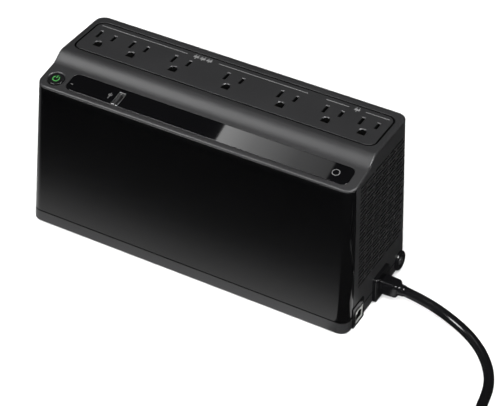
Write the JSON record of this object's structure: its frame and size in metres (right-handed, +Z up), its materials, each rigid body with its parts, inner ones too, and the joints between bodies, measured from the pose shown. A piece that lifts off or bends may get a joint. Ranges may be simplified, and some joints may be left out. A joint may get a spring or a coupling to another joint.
{
  "type": "uninterruptible power supply",
  "caption": "Desktop battery backup with mains sockets on its top deck, a sloping shelf with a push button and charging port, and a mains cord, data jack and circuit breaker on one end.",
  "frame": {"origin": "bottom centre of the case, on the surface that it stands on", "axes": "+X along the case towards the end with the mains cord, +Y to the back, +Z up"},
  "size_m": [0.5129, 0.1699, 0.1391],
  "materials": {
    "case_plastic": "fine matt moulded texture",
    "front_gloss": "high gloss",
    "strip_gloss": "high gloss",
    "rubber": "matt",
    "pad_foam": "soft foam",
    "inner_plastic": "satin",
    "brass": "stamped",
    "print_grey": "printed",
    "button_plastic": "satin",
    "symbol_green": "lit from behind",
    "circuit_board": "solder mask",
    "led_lens": "clear",
    "bright_steel": "bright",
    "tongue_plastic": "satin",
    "trim_plastic": "satin gloss",
    "jack_plastic": "satin",
    "gold_contact": "plated",
    "cord_rubber": "satin",
    "tie_plastic": "satin",
    "plug_brass": "bright",
    "breaker_plastic": "satin gloss",
    "battery_plastic": "satin",
    "battery_lid": "satin",
    "connector_plastic": "satin",
    "wire_red": "satin",
    "wire_black": "satin",
    "aluminium": "extruded",
    "ferrite": "matt",
    "coil_tape": "tape",
    "capacitor_sleeve": "sleeve",
    "relay_blue": "satin",
    "varistor_blue": "epoxy",
    "fuse_orange": "satin",
    "screw_steel": "zinc"
  },
  "bodies": {
    "root": {"base_tray": "case_plastic", "rubber_feet": "rubber", "main_case": "case_plastic", "front_panel": "front_gloss", "top_cover": "case_plastic", "outlet_panel": "case_plastic", "outlet_sockets": "inner_plastic", "neutral_bar": "brass", "line_bar_backed": "brass", "line_bar_surge": "brass", "ground_bar": "brass", "outlet_markings": "print_grey", "inlay_strip": "strip_gloss", "strip_markings": "print_grey", "power_switch": "inner_plastic", "indicator_board": "circuit_board", "status_led": "led_lens", "usb_shell": "bright_steel", "usb_tongue": "tongue_plastic", "usb_board": "circuit_board", "jack_housing": "trim_plastic", "data_jack": "jack_plastic", "jack_contacts": "gold_contact", "data_board": "circuit_board", "cord_bezel": "trim_plastic", "strain_relief": "cord_rubber", "power_cord": "cord_rubber", "cord_coil": "cord_rubber", "cord_tie": "tie_plastic", "plug_body": "cord_rubber", "plug_blades": "plug_brass", "breaker_body": "inner_plastic", "breaker_nut": "trim_plastic", "battery_case": "battery_plastic", "battery_lid": "battery_lid", "battery_tabs": "bright_steel", "spade_connectors": "connector_plastic", "battery_lead_red": "wire_red", "battery_lead_black": "wire_black", "main_board": "circuit_board", "heat_sink": "aluminium", "power_transistors": "inner_plastic", "transformer_core": "ferrite", "transformer_coil": "coil_tape", "bulk_capacitors": "capacitor_sleeve", "relays": "relay_blue", "varistors": "varistor_blue", "board_fuse": "fuse_orange", "buzzer": "inner_plastic", "mains_wires": "wire_black", "output_wires": "wire_black", "case_screws": "screw_steel", "board_screws": "screw_steel"},
    "power_button_body": {"power_button": "button_plastic", "power_symbol": "symbol_green"},
    "breaker_button_body": {"breaker_button": "breaker_plastic"},
    "battery_door_body": {"battery_door": "case_plastic", "door_pad": "pad_foam"}
  },
  "joints": [
    {"name": "power_button_press", "type": "slide", "parent": "root", "child": "power_button_body", "axis": [0, 0.1867, -0.9824], "range_m": [0, 0.0012], "stiffness_N_per_m": 400, "springref_m": -0.002},
    {"name": "breaker_button_trip", "type": "slide", "parent": "root", "child": "breaker_button_body", "axis": [1, 0, 0], "range_m": [0, 0.003]},
    {"name": "battery_door_slide", "type": "slide", "parent": "root", "child": "battery_door_body", "axis": [0, 1, 0], "range_m": [0, 0.012]}
  ]
}
